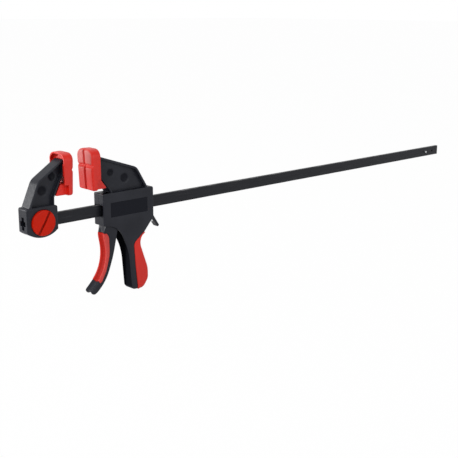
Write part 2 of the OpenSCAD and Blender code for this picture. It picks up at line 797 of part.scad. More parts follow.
// Boundary of the inlay from its lower end to its upper end.
inlay_edge = [
    [13.4, under(111.6), 0, 0.4],
    [17.5, under(110.6), 8, 0.4],
    [27.6, under(92), 60, 0.4],
    [35, under(66), 60, 0.4],
    [34.4, under(34), 14, 0.4],
    [30, under(28.9), 0, 0.4]];

// Finger channel: share of the half width and share of the depth at each station.
channel_stations = [[0, 1], [0.22, 0.88], [0.42, 0.55], [0.6, 0.18], [0.7, 0]];

// The channel runs along the front face and fades out under the toe.
function on_front(p) = p[1] < under(118) ? max(0, min(1, (9 - p[0]) / 6))
    : p[1] < under(20) && p[0] < min(33, 33 + (p[1] - under(64)) * 0.25) ? 1 : 0;

// Points of the handle grown outwards by d: x, z, edge radius, inward x and z, channel share.
function handle_points(d) = let(g = grown(rounded(handle_corners), d))
    [for (i = [0:len(g) - 1]) let(n = inward(g, i))
        [g[i][0], g[i][1], g[i][2], n[0], n[1], on_front(g[i])]];

function edge_ring(points, half, k, side) = let(a = 90 * k / edge_rings) [for (p = points)
    let(d = p[2] * (1 - cos(a)))
    [p[0] + p[3] * d, p[1] + p[4] * d, side * (half - p[2] + p[2] * sin(a))]];

function channel_ring(points, half, s, side) = [for (p = points)
    let(d = channel_depth * s[1] * p[5]) [p[0] + p[3] * d, p[1] + p[4] * d, side * half * s[0]]];

edge_rings = 3;

// Skin over handle points: rounded edges on both sides, finger channel between them.
module handle_skin(points, half) {
    n = len(channel_stations);
    layers = concat(
        [for (k = [edge_rings:-1:0]) each edge_ring(points, half, k, -1)],
        [for (k = [n - 1:-1:1]) each channel_ring(points, half, channel_stations[k], -1)],
        [for (s = channel_stations) each channel_ring(points, half, s, 1)],
        [for (k = [0:edge_rings]) each edge_ring(points, half, k, 1)]);
    rotate([90, 0, 0]) skin(layers, len(points));
}

function open_arcs(c) = [for (i = [0:len(c) - 1])
    each c[i][2] > 0 ? corner_arc(c[i - 1], c[i], c[i + 1]) : [[c[i][0], c[i][1], c[i][3]]]];

inlay_gap = 0.1;
inlay_swell = 0.3;

// The inlay takes the front of the handle's outline and closes it along its own boundary.
function inlay_points() = let(
    front = [for (p = handle_points(inlay_swell))
        if (p[5] > 0 && p[1] < under(28.7) && p[1] > under(108.5)) p],
    back = open_arcs(inlay_edge),
    outline = concat([for (p = front) [p[0], p[1], p[2]]], back), n = len(front))
    concat(front, [for (i = [n:len(outline) - 1]) let(v = inward(outline, i))
        [outline[i][0] + v[0] * inlay_gap, outline[i][1] + v[1] * inlay_gap, outline[i][2],
         v[0], v[1], 0]]);

// Bed of the inlay in the handle, open to the front.
inlay_bed = rounded(concat([[13.2, under(111.7), 0, 0]],
    [for (i = [1:len(inlay_edge) - 2]) inlay_edge[i]],
    [[30.2, under(28.6), 0, 0], [18, under(28.6), 0, 0], [-10, under(60), 0, 0],
        [8, under(97.5), 0, 0]]));

module trigger_fork() {
    difference() {
        union() {
            prism([[29.4, over(2)], [29.4, under(15)], [44.6, under(15)], [44.6, under(0)],
                [pivot_x + hub_r, pivot_z], [pivot_x, pivot_z]], trigger_w - 0.4);
            cross_cylinder(pivot_x, pivot_z, hub_r, trigger_w - 0.4);
            cross_cylinder(pivot_x + nose_x, pivot_z - nose_drop, nose_r, trigger_w - 0.4);
        }
        difference() {
            cross_cylinder(pivot_x, pivot_z, fork_r, bar_t + 2 * fork_gap);
            cross_cylinder(pivot_x, pivot_z, hub_r, bar_t + 4 * fork_gap);
        }
        cross_cylinder(pivot_x, pivot_z, trigger_pin_d / 2 + pin_gap, far_away);
    }
}

module trigger() color(charcoal) at_jaw() {
    trigger_fork();
    difference() {
        handle_skin(handle_points(0), trigger_w / 2);
        prism(inlay_bed, far_away);
    }
}

module trigger_inlay() color(red) at_jaw()
    handle_skin(inlay_points(), trigger_w / 2 + inlay_swell);

module trigger_pin() color(steel) at_jaw()
    cross_cylinder(pivot_x, pivot_z, trigger_pin_d / 2, 2 * (house_w / 2 - 1) - 0.2);

// ---- drive ----

module drive_plate(x) {
    c = [[-drive_plate_w / 2, under(drive_plate_under), 2, 0],
         [drive_plate_w / 2, under(drive_plate_under), 2, 0],
         [drive_plate_w / 2, over(drive_plate_over), 2, 0],
         [-drive_plate_w / 2, over(drive_plate_over), 2, 0]];
    translate([x, 0, 0]) rotate([90, 0, 90]) linear_extrude(drive_plate_t) difference() {
        polygon([for (p = rounded(c)) plane(p)]);
        square([slot_t, slot_h], center = true);
    }
}

module drive_plate_front() color(steel) at_jaw() drive_plate(plates_x);
module drive_plate_rear() color(steel) at_jaw() drive_plate(plates_x + drive_plate_t);

// Round wire wound along Z from height 0 to length.
module coil(coil_r, wire_d, turns, length, sides = 6, per_turn = 14) {
    rings = turns * per_turn;
    rise = (length - wire_d) / rings;
    function ring_point(k, s) = let(a = 360 * k / per_turn, b = 360 * s / sides,
        r = coil_r + wire_d / 2 * cos(b))
        [r * cos(a), r * sin(a), wire_d / 2 + rise * k + wire_d / 2 * sin(b)];
    points = [for (k = [0:rings]) for (s = [0:sides - 1]) ring_point(k, s)];
    faces = [
        [for (s = [sides - 1:-1:0]) s],
        for (k = [0:rings - 1]) for (s = [0:sides - 1])
            let(t = (s + 1) % sides, a = k * sides, b = a + sides)
            each [[a + s, a + t, b + t], [a + s, b + t, b + s]],
        [for (s = [0:sides - 1]) rings * sides + s]];
    polyhedron(points, faces, convexity = 12);
}

// The coil is drawn with straight steps, so its radius leaves room for them round the bar.
drive_coil_r = (norm([bar_h, bar_t]) / 2 + 0.15) / cos(180 / 14) + drive_wire_d / 2;

module drive_spring() color(steel) at_jaw()
    translate([spring_x, 0, 0]) rotate([0, 90, 0])
        coil(drive_coil_r, drive_wire_d, drive_turns, drive_spring_l);

module spring_seat() color(steel) at_jaw() translate([seat_x, 0, 0]) rotate([90, 0, 90])
    linear_extrude(seat_t) difference() {
        square([2 * (inner_half - seat_gap), 2 * seat_half], center = true);
        square([slot_t, slot_h], center = true);
    }

// ---- release lever, tilted about its fulcrum ----

module tilted_lever() {
    translate([lever_x, 0, lever_z]) rotate([0, -lever_tilt, 0]) children();
}

lever_slot = (slot_h + lever_t * sin(lever_tilt)) / cos(lever_tilt);
slot_mid = -lever_z / cos(lever_tilt);

// Tail of the lever, bent rearwards through the housing and down into the tab.
tail_corners = [
    [lever_x - 1.6, lever_z + 1.6, 0, 0],
    [lever_x - 1.4, lever_z - 1.6, 0.5, 0],
    [lever_x + 6.7, lever_z - 4.3, 1.5, 0],
    [lever_x + 14.5, lever_z - 16.2, 0, 0],
    [lever_x + 17, lever_z - 14.6, 0, 0],
    [lever_x + 8.5, lever_z - 1.6, 3, 0],
    [lever_x + 1.2, lever_z + 1, 0, 0]];

module release_lever() color(steel) at_jaw() {
    tilted_lever() difference() {
        box([-lever_t / 2, -lever_w / 2, -1.8],
            [lever_t / 2, lever_w / 2, (lever_top - lever_z) / cos(lever_tilt)]);
        box([-lever_t, -slot_t / 2, slot_mid - lever_slot / 2],
            [lever_t, slot_t / 2, slot_mid + lever_slot / 2]);
    }
    prism(rounded(tail_corners), tab_w - 4);
}

tab_t = 5.2;
tab_slant = 33.5;
tab_x = house_back + 4.1;
tab_z = under(17.2);

// Tab moulded over the tail, drawn along its own slant.
tab_corners = [
    [-tab_t / 2, 2, 1.4, 0.8],
    [tab_t / 2, 3.8, 1.4, 0.8],
    [tab_t / 2 - 0.2, -tab_l, 1.6, 1.2],
    [-tab_t / 2 + 0.6, -tab_l - 0.6, 1.2, 1.2]];

module release_tab() color(charcoal) at_jaw() difference() {
    translate([tab_x, 0, tab_z]) rotate([0, -tab_slant, 0])
        full_slab(rounded(tab_corners), tab_w / 2);
    prism(rounded(tail_corners), tab_w - 4);
}

release_coil_r = 3.5;
release_spring_x = lever_x - (over(0.6) - lever_z) * tan(lever_tilt)
    + lever_t / (2 * cos(lever_tilt)) + 0.2;

module release_spring() color(steel) at_jaw()
    translate([release_spring_x, 0, over(1.5 + release_coil_r)]) rotate([0, 90, 0])
        coil(release_coil_r, release_wire_d, 5, house_back - wall - 0.1 - release_spring_x, 6, 12);

bar();
bar_stop_pin();
fixed_jaw();
fixed_pad();
lock_knob();
lock_pin();
lock_clip();
knob_washer();
near_shell();
far_shell();
shell_screws();
sliding_pad();
grip_cover();
trigger();
trigger_inlay();
trigger_pin();
drive_plate_front();
drive_plate_rear();
drive_spring();
spring_seat();
release_lever();
release_tab();
release_spring();
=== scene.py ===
"""Finishes for a quick release bar clamp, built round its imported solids."""

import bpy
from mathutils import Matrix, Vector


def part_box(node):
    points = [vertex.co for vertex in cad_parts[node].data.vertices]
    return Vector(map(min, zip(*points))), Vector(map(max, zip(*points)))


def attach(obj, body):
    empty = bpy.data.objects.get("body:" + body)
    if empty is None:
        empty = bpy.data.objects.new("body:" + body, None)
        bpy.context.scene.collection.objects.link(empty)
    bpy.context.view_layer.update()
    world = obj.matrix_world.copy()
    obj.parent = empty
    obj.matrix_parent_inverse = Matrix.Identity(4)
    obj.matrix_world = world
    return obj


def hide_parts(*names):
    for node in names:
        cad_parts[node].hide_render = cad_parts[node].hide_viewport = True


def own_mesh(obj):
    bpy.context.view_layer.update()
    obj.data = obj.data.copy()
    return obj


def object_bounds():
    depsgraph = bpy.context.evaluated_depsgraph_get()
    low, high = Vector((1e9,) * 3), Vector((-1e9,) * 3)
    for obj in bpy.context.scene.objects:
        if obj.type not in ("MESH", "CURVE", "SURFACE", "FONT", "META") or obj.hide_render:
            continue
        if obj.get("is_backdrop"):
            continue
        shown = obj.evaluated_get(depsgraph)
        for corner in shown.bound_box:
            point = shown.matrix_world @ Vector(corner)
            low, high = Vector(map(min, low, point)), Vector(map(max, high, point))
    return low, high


bl_info = {
    "name": "Quick Release Bar Clamp",
    "version": (1, 0, 0),
    "blender": (4, 5, 0),
    "location": "View3D > Sidebar > Bar Clamp",
    "description": "Models and finishes the pieces of a quick release bar clamp",
    "category": "Object",
}

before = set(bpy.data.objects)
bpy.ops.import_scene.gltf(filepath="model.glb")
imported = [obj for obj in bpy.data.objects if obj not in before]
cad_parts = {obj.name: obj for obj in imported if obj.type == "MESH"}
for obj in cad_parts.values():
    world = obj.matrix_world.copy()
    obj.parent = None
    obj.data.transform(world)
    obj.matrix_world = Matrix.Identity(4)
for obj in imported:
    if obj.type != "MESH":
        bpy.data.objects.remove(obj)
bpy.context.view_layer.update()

import math

import bpy
from mathutils import Matrix, Vector

MM = 0.001
LOOSE = 0.01 * MM  # points closer than this are one
SHARP = math.radians(38)  # edges that turn more than this are rounded


# ---- places on the object, in metres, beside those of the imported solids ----

# Where a pair stands for a fade, it holds the two ends of the fade.
HOUSE_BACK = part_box("near_shell")[1].x

# Rubber: clamping faces with their painted sheen, and the trigger inlay's groove with painted
# shade and rims with a painted highlight
PAD_FACES = (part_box("fixed_pad")[1].x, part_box("sliding_pad")[0].x)
SHEEN_DEPTH, SHEEN_FOOT = (0.0005, 0.0024), (0.03, 0.035)
INLAY_BACK, INLAY_TOP = (0.132, 0.138), (-0.045, -0.03)
INLAY_GROOVE, INLAY_RIMS = (0.0035, 0.0085), (0.0055, 0.0085)
PAD_ROUNDS, INLAY_ROUNDS = 6, 3

# Lock knob: rim and coin slot, as distances from its axis and from the slot's middle
KNOB_RIM, SLOT_END, SLOT_HALF = (0.0178, 0.0198), (0.019, 0.02), (0.0014, 0.0024)
SLOT_TURN = math.radians(58)

# Housing panel, dished webs of the two arms (x, z, radius) and the grip's channel
PANEL_HALF_L, PANEL_HALF_H, PANEL_FADE = 0.038, 0.0123, 0.0002
PANEL_X, PANEL_SIDE = HOUSE_BACK - 0.0515, (0.0127, 0.0131)
DISHES = ((0.006, 0.0484, 0.010), (0.0245, 0.069, 0.0076),
          (HOUSE_BACK - 0.0538, 0.0496, 0.010), (HOUSE_BACK - 0.082, 0.0616, 0.0076))
DISH_BED, DISH_BRIM = 0.75, 1.02
WEB_SIDE, WEB_FOOT, WEB_END = (0.0032, 0.0042), (0.022, 0.026), (0.2, 0.21)
CHANNEL_SIDE = (0.0111, 0.0115)
CHANNEL_FRONT, CHANNEL_BACK = (0.146, 0.147), (0.1735, 0.1745)
CHANNEL_FOOT, CHANNEL_HEAD = (-0.1455, -0.1425), (-0.022, -0.012)

# Bar: its arrises and the tracks that the plates rub on its sides
ARRIS_Z, ARRIS_Y, TRACK_Y = (0.0088, 0.0099), (0.0022, 0.0029), (0.0026, 0.0029)

# Waist of the grip: the band and front of its back face, and how its skin reaches the cover
WAIST_LOW, WAIST_HIGH, WAIST_FRONT = -0.0767, -0.0605, 0.186
BACKWARD = 0.3  # least x of the normal of a face that looks back
SKIN_SPREAD, SKIN_WELD, SKIN_SMOOTH = 1.05, 0.3 * MM, math.radians(40)
SKIN_TOP, SKIN_FOOT = (0.43, 0.7 * MM), (-0.34, -1.2 * MM)

# Stroke of the drive plate, and turn and pivot height of the release lever
PLATE_STROKE = 0.0098
LEVER_TURN, LEVER_PIVOT_Z = math.radians(8), -0.0195

# Height of each finish's fine relief
RUBBER_RELIEF, KNOB_RELIEF, PLASTIC_RELIEF = 0.00008, 0.00004, 0.00012
BAR_RELIEF, STEEL_RELIEF = 0.00006, 0.00003

# Stage: floor, light and camera
FLOOR_SIZE, FLOOR_MIDDLE, FLOOR_GAP = 60, (0.5, 0.5), 0.0005
FLOOR_GREY, FLOOR_ROUGHNESS, FLOOR_GLOSS = (0.86, 0.86, 0.86, 1), 0.9, 0.1
FLOOR_WHITE = 0.98
ROOM_TINT, ROOM_LIGHT = (0.95, 0.97, 1, 1), 0.3
LAMPS = (
    # name, place, aim, size, watts
    ("key", (-1.5, -0.7, 1.3), (0.1, 0, 0), 0.8, 18),
    ("side", (-1.12, 1.19, 0.27), (0.1, 0, 0.05), 0.65, 19),
    ("fill", (0.7, -2.2, 0.6), (0.3, 0, 0), 1.6, 13),
    ("top", (0.5, 0.6, 2.4), (0.4, 0, 0), 1.8, 18),
)
CAMERA_PLACE, CAMERA_TURN = (-0.6892, -1.1695, 0.3254), (46.82, 14.24, 0.31)
CAMERA_SENSOR, CAMERA_LENS = 36, 68.52

# Sockets that have no name of their own, by number
COORD_NORMAL, COORD_OBJECT = 1, 3
MIX_FIRST, MIX_SECOND, MIX_COLOUR = 6, 7, 2


# ---- shader sockets as values ----

class Wire:
    """A node tree's socket that Python expressions can be written on."""

    def __init__(self, tree, socket=None):
        self.tree, self.socket = tree, socket

    def add(self, kind, settings, values, out=0):
        """Adds a node, sets it up, feeds its inputs and returns one of its outputs."""
        node = self.tree.nodes.new(kind)
        for key, value in settings.items():
            setattr(node, key, value)
        for key, value in values.items():
            if isinstance(value, Wire):
                self.tree.links.new(value.socket, node.inputs[key])
            else:
                node.inputs[key].default_value = value
        return Wire(self.tree, node.outputs[out])

    def maths(self, operation, *values):
        """The result of a Math node on these values."""
        return self.add("ShaderNodeMath", {"operation": operation}, dict(enumerate(values)))

    def __add__(self, other):
        return self.maths("ADD", self, other)

    def __sub__(self, other):
        return self.maths("SUBTRACT", self, other)

    def __rsub__(self, other):
        return self.maths("SUBTRACT", other, self)

    def __mul__(self, other):
        return self.maths("MULTIPLY", self, other)

    __radd__ = __add__
    __rmul__ = __mul__

    def apart(self, centre):
        """Distance of the value from centre."""
        gap = self - centre
        return gap.maths("ABSOLUTE", gap)

    def ramp(self, low, high, start=0.0, end=1.0):
        """Runs from start to end as the value goes from low to high, and stays level beyond."""
        return self.add("ShaderNodeMapRange", {"interpolation_type": "SMOOTHSTEP"},
                        {0: self, 1: low, 2: high, 3: start, 4: end})

    def mixed(self, first, second):
        """Colour between first and second, with the value as its share of second."""
        return self.add("ShaderNodeMix", {"data_type": "RGBA"}, {
            0: self, MIX_FIRST: first, MIX_SECOND: second}, MIX_COLOUR)


def shade(colour, factor):
    """An RGBA colour, lighter or darker by factor."""
    return (*(min(1.0, c * factor) for c in colour[:3]), 1.0)


class Finish:
    """A material with its Object coordinates and Principled shader at hand."""

    def __init__(self, name, **constants):
        self.material = bpy.data.materials.new(name)
        self.material.use_nodes = True
        self.tree = self.material.node_tree
        self.shader = self.tree.nodes["Principled BSDF"]
        for key, value in constants.items():
            self.shader.inputs[key.replace("_", " ")].default_value = value
        self.here = Wire(self.tree).add("ShaderNodeTexCoord", {}, {}, COORD_OBJECT)
        self.x, self.y, self.z = self.split(self.here)
        facing = Wire(self.tree).add("ShaderNodeTexCoord", {}, {}, COORD_NORMAL)
        self.sideways = self.split(facing)[1].apart(0)

    def split(self, vector):
        """The three parts of a vector."""
        parts = vector.add("ShaderNodeSeparateXYZ", {}, {0: vector})
        return [Wire(self.tree, socket) for socket in parts.socket.node.outputs]

    def noise(self, scale, detail=2.0, stretch=(1, 1, 1), rough=0.5):
        """Noise over the object's own coordinates, in grains per metre."""
        place = self.here
        if stretch != (1, 1, 1):
            place = place.add("ShaderNodeMapping", {}, {0: place, 3: stretch})
        return place.add("ShaderNodeTexNoise", {}, {"Vector": place, "Scale": scale,
                         "Detail": detail, "Roughness": rough})

    def feed(self, key, value):
        """Joins a value to one of the shader's inputs."""
        self.tree.links.new(value.socket, self.shader.inputs[key])

    def bump(self, height, distance):
        """Fine relief, with distance as its height in metres."""
        self.feed("Normal", height.add("ShaderNodeBump", {}, {
            "Height": height, "Distance": distance, "Strength": 1.0}))


def rubber_finish(look, name="soft_red_rubber", gloss=0.4):
    """Soft red rubber: a whitish painted sheen on the clamping faces, and on the trigger inlay
    painted shade in its groove and a painted highlight on its rims.
    """
    f = Finish(name, IOR=1.48, Specular_IOR_Level=gloss)
    colour = look.soft_red
    cloud, fine = f.noise(22, 3), f.noise(1500, 2, rough=0.65)
    rubbed = f.noise(140, 4, (1, 1, 0.25)).ramp(0.56, 0.74)
    faces = sum(f.x.apart(x).ramp(*SHEEN_DEPTH, 1, 0) for x in PAD_FACES)
    # Painted sheen: a whitish colour on the clamping faces that stands in for the light they
    # reflect
    painted_sheen = faces * f.z.ramp(*SHEEN_FOOT) * cloud.ramp(0.25, 0.7, 0.75, 1.0)
    inlay = f.x.ramp(*INLAY_BACK, 1, 0) * f.z.ramp(*INLAY_TOP, 1, 0)
    # Painted shade in the inlay's concave groove, darkest along its middle; the groove is also
    # rougher
    shaded_groove = f.y.apart(0).ramp(*INLAY_GROOVE, 1, 0.1) * inlay
    # Painted highlight along the inlay's raised rims
    lit_rims = f.y.apart(0).ramp(*INLAY_RIMS) * inlay
    tone = cloud.ramp(0.3, 0.7).mixed(shade(colour, 0.94), shade(colour, 1.06))
    tone = (fine.ramp(0.35, 0.8) * 0.35).mixed(tone, shade(colour, 1.7))
    tone = (painted_sheen * 0.9).mixed(tone, (*look.sheen_paint, 1))
    tone = (lit_rims * 0.4).mixed(tone, (*look.sheen_paint, 1))
    tone = (shaded_groove * 0.8).mixed(tone, shade(colour, 0.5))
    f.feed("Base Color", tone)
    f.feed("Roughness", (cloud - 0.5) * 0.18 + (fine - 0.5) * 0.2 - rubbed * 0.12
           + painted_sheen * 0.1 + shaded_groove * 0.2 + 0.42)
    f.bump(fine + cloud * 0.4, RUBBER_RELIEF)
    return f.material


def knob_finish(look):
    """Hard red plastic of the lock knob, rubbed smooth round its rim, with painted shade in its
    coin slot.
    """
    f = Finish("knob_plastic", IOR=1.5, Specular_IOR_Level=0.1)
    colour = look.knob_red
    cloud, fine = f.noise(26, 3), f.noise(1300, 2, rough=0.65)
    off_axis = f.x * f.x + f.z * f.z
    rim = off_axis.ramp(*(r ** 2 for r in KNOB_RIM))
    # Painted shade over the walls and floor of the coin slot
    across = f.x * math.sin(SLOT_TURN) - f.z * math.cos(SLOT_TURN)
    shaded_slot = (across.apart(0).ramp(*SLOT_HALF, 1, 0)
            * off_axis.ramp(*(r ** 2 for r in SLOT_END), 1, 0))
    tone = cloud.ramp(0.3, 0.7).mixed(shade(colour, 0.93), shade(colour, 1.08))
    tone = (fine.ramp(0.35, 0.8) * 0.25).mixed(tone, shade(colour, 1.6))
    tone = (shaded_slot * 0.75).mixed(tone, shade(colour, 0.42))
    f.feed("Base Color", tone)
    f.feed("Roughness", (cloud - 0.5) * 0.16 + (fine - 0.5) * 0.14 - rim * 0.08 + 0.36)
    f.bump(fine + cloud * 0.3, KNOB_RELIEF)
    return f.material


def charcoal_plastic(look):
    """Glass-filled nylon of the jaws, with a coarser bare panel on the housing's two sides, and
    painted shade in the arms' dishes and the grip's channel.
    """
    f = Finish("charcoal_plastic", IOR=1.5, Specular_IOR_Level=0.06, Coat_Roughness=0.37)
    base = look.charcoal
    cloud, fine = f.noise(22, 3), f.noise(1900, 2, rough=0.65)
    coarse = f.noise(900, 4, rough=0.7)
    rubbed = f.noise(120, 4, (1, 1, 0.3)).ramp(0.58, 0.78)
    panel = (f.x.apart(PANEL_X).ramp(PANEL_HALF_L - PANEL_FADE, PANEL_HALF_L + PANEL_FADE, 1, 0)
             * f.z.apart(0).ramp(PANEL_HALF_H - PANEL_FADE, PANEL_HALF_H + PANEL_FADE, 1, 0)
             * f.y.apart(0).ramp(*PANEL_SIDE))
    # Painted shade in the dished hollows of the two arms' webs
    shaded_dishes = sum(((f.x - x) * (f.x - x) + (f.z - z) * (f.z - z)).ramp(
        (DISH_BED * r) ** 2, (DISH_BRIM * r) ** 2, 1, 0) for x, z, r in DISHES)
    webs = (f.y.apart(0).ramp(*WEB_SIDE, 1, 0) * f.z.ramp(*WEB_FOOT) * f.x.ramp(*WEB_END, 1, 0)
            * f.sideways.ramp(0.5, 0.8))
    shaded_dishes = shaded_dishes * webs
    # Painted shade inside the grip's front channel, which is also rougher and has no coat
    shaded_channel = (f.y.apart(0).ramp(*CHANNEL_SIDE, 1, 0)
               * f.x.ramp(*CHANNEL_FRONT) * f.x.ramp(*CHANNEL_BACK, 1, 0)
               * f.z.ramp(*CHANNEL_FOOT) * f.z.ramp(*CHANNEL_HEAD, 1, 0))
    tone = cloud.ramp(0.3, 0.7).mixed(shade(base, 0.88), shade(base, 1.14))
    tone = (fine.ramp(0.4, 0.8) * 0.4).mixed(tone, shade(base, 1.8))
    tone = panel.mixed(tone, shade(base, 0.76))
    tone = (shaded_dishes * 0.6).mixed(tone, shade(base, 0.35))
    tone = (shaded_channel * 0.9).mixed(tone, shade(base, 0.35))
    f.feed("Base Color", tone)
    f.feed("Roughness", (cloud - 0.5) * 0.16 + (fine - 0.5) * 0.22 - rubbed * 0.1
           + panel * 0.16 + shaded_channel * 0.6 + look.plastic_roughness)
    f.feed("Coat Weight", (1 - panel) * (1 - webs) * (1 - shaded_channel) * (cloud * 0.2 + 0.16))
    f.bump(fine + panel * coarse * 3.0, PLASTIC_RELIEF)
    return f.material


def bar_finish(look):
    """Black oxide on drawn steel: lengthwise draw marks, paler arrises and rubbed tracks."""
    f = Finish("black_bar", IOR=1.5, Specular_IOR_Level=0.16)
    base = look.bar_black
    drawn = f.noise(60, 4, (0.35, 14, 14), 0.6)
    hair = f.noise(260, 3, (0.06, 9, 9), 0.6)
    cloud = f.noise(18, 3, (0.5, 1, 1))
    arris = f.z.apart(0).ramp(*ARRIS_Z) * f.y.apart(0).ramp(*ARRIS_Y)
    worn = arris * f.noise(70, 4, (0.4, 1, 1)).ramp(0.42, 0.7)
    track = f.y.apart(0).ramp(*TRACK_Y) * hair.ramp(0.62, 0.75) * 0.5
    tone = drawn.ramp(0.3, 0.7).mixed(shade(base, 0.82), shade(base, 1.25))
    tone = (worn + track).mixed(tone, shade(look.steel, 0.35))
    f.feed("Base Color", tone)
    f.feed("Metallic", worn * 0.5 + 0.15)
    f.feed("Roughness", (drawn - 0.5) * 0.25 + (cloud - 0.5) * 0.2 - worn * 0.1 + 0.42)
    f.bump(drawn * 0.6 + hair, BAR_RELIEF)
    return f.material


def bright_steel(name, colour, roughness):
    """Turned or stamped steel with fine marks and a little tarnish."""
    f = Finish(name)
    marks, cloud = f.noise(700, 3, (1, 4, 4)), f.noise(60, 3)
    f.feed("Base Color", cloud.ramp(0.3, 0.75).mixed(shade(colour, 0.78), shade(colour, 1.06)))
    f.feed("Metallic", 1 - cloud.ramp(0.55, 0.85) * 0.25)
    f.feed("Roughness", (marks - 0.5) * 0.25 + (cloud - 0.5) * 0.2 + roughness)
    f.bump(marks, STEEL_RELIEF)
    return f.material


def white_rays(tree, plain, output, kind, share):
    """The camera, glossy surfaces and glass see white instead of the plain shader."""
    start = Wire(tree)
    outs = start.add("ShaderNodeLightPath", {}, {}).socket.node.outputs
    camera, glossy, through = (Wire(tree, outs[f"Is {kind_of} Ray"])
                               for kind_of in ("Camera", "Glossy", "Transmission"))
    seen = start.maths("MAXIMUM", start.maths("MAXIMUM", camera, glossy), through)
    white = start.add(kind, {}, {0: (1, 1, 1, 1), 1: 1.0})
    mixed = start.add("ShaderNodeMixShader", {}, {0: seen * share,
                      1: Wire(tree, plain.outputs[0]), 2: white})
    tree.links.new(mixed.socket, tree.nodes[output].inputs[0])


# ---- settings ----

def colour_prop(name, description, default):
    """A colour that the panel shows."""
    return bpy.props.FloatVectorProperty(name=name, description=description, subtype="COLOR",
                                         size=3, min=0, max=1, default=default)


def length_prop(name, description, default):
    """A length in metres that the panel shows."""
    return bpy.props.FloatProperty(name=name, description=description, default=default,
                                   min=0, subtype="DISTANCE", unit="LENGTH", precision=4)


class ClampLook(bpy.types.PropertyGroup):
    """Colours of the clamp's materials"""
    charcoal: colour_prop("Charcoal", "Plastic of jaws, shells, trigger and tab",
                          (0.0120, 0.0131, 0.0188))
    soft_red: colour_prop("Soft red", "Rubber of pads, inlay and grip cover",
                          (0.60, 0.011, 0.003))
    # Colour of the painted sheen on the clamping faces and of the painted highlight on the
    # inlay's rims
    sheen_paint: colour_prop("Painted rubber sheen", "Whitish painted sheen on the clamping faces",
                              (0.56, 0.155, 0.145))
    knob_red: colour_prop("Knob red", "Hard plastic of the lock knob", (0.50, 0.011, 0.001))
    bar_black: colour_prop("Bar black", "Black oxide of the bar", (0.0115, 0.0122, 0.0155))
    steel: colour_prop("Steel", "Pins, plates, washer and clip", (0.56, 0.57, 0.58))
    screw_black: colour_prop("Screw black", "Blackened screws", (0.05, 0.05, 0.055))
    plastic_roughness: bpy.props.FloatProperty(
        name="Plastic roughness", description="Mean roughness of the charcoal plastic",
        default=0.4, min=0.1, max=1)


class ClampSizes(bpy.types.PropertyGroup):
    """Small sizes that finish the clamp's pieces"""
    plastic_edge: length_prop("Plastic edge", "Rounding of moulded edges", 0.35 * MM)
    rubber_cell: length_prop("Rubber cell", "Cell of the rubber's even mesh, which sets how "
                             "round its edges are", 0.5 * MM)
    bar_edge: length_prop("Bar edge", "Rounding along the bar", 0.5 * MM)
    pin_chamfer: length_prop("Pin chamfer", "Chamfer of the bar's stop pin", 0.3 * MM)
    lock_chamfer: length_prop("Lock chamfer", "Chamfer of the lock's pin, clip and washer",
                              0.15 * MM)
    screw_chamfer: length_prop("Screw chamfer", "Chamfer of the shell screws", 0.2 * MM)
    inlay_cell: length_prop("Inlay cell", "Cell of the trigger inlay's even mesh", 0.26 * MM)
    inlay_swell: length_prop("Inlay swell", "How far the inlay's rubber swells into its bed",
                             0.08 * MM)
    skin_t: length_prop("Waist skin", "Thickness of the rubber over the grip's waist",
                        0.33 * MM)


# ---- modelling helpers ----

def only(*pieces):
    """Selects these pieces alone, the first of them active."""
    bpy.ops.object.select_all(action="DESELECT")
    for piece in pieces:
        piece.select_set(True)
    bpy.context.view_layer.objects.active = pieces[0]


def edit(piece, action="SELECT"):
    """Goes into edit mode with all or nothing of the piece selected."""
    only(piece)
    bpy.ops.object.mode_set(mode="EDIT")
    bpy.ops.mesh.select_all(action=action)


def leave():
    """Goes back to object mode."""
    bpy.ops.object.mode_set(mode="OBJECT")


def pick(piece, kind, items, chosen):
    """Goes into edit mode with only the chosen ones of the piece's items selected."""
    edit(piece, "DESELECT")
    bpy.ops.mesh.select_mode(type=kind)
    leave()
    for item in items:
        item.select = chosen(item)
    bpy.ops.object.mode_set(mode="EDIT")


def weld(piece, gap):
    """Merges the piece's points that are closer than gap."""
    edit(piece)
    bpy.ops.mesh.remove_doubles(threshold=gap)
    leave()


def paint(data, material):
    """Makes the material the only one of a mesh."""
    data.materials.clear()
    data.materials.append(material)


def modify(piece, kind, **settings):
    """Adds a modifier, sets it up and applies it."""
    only(piece)
    modifier = piece.modifiers.new(kind.lower(), kind)
    for key, value in settings.items():
        setattr(modifier, key, value)
    bpy.ops.object.modifier_apply(modifier=modifier.name)


def finish_piece(piece, node, body, material):
    """Paints the piece and lets it stand for its node and ride on its body."""
    paint(piece.data, material)
    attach(piece, body)
    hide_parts(node)
    return piece


def copied(node, name):
    """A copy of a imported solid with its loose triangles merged."""
    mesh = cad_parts[node].data.copy()
    piece = bpy.data.objects.new(name, mesh)
    bpy.context.scene.collection.objects.link(piece)
    if mesh.has_custom_normals:
        edit(piece)
        bpy.ops.mesh.customdata_custom_splitnormals_clear()
        leave()
    weld(piece, LOOSE)
    return piece


def dressed(node, name, body, material, edge, flat=0.4, smooth=50.0, rings=2):
    """A copy of a solid with its flat faces joined whole and its sharp edges rounded."""
    piece = copied(node, name)
    edit(piece)
    bpy.ops.mesh.dissolve_limited(angle_limit=math.radians(flat))
    leave()
    if edge > 0:
        modify(piece, "BEVEL", width=edge, segments=rings, limit_method="ANGLE",
               angle_limit=SHARP, use_clamp_overlap=False)
        weld(piece, LOOSE)
    only(piece)
    bpy.ops.object.shade_smooth_by_angle(angle=math.radians(smooth))
    modify(piece, "WEIGHTED_NORMAL", keep_sharp=True)
    return finish_piece(piece, node, body, material)


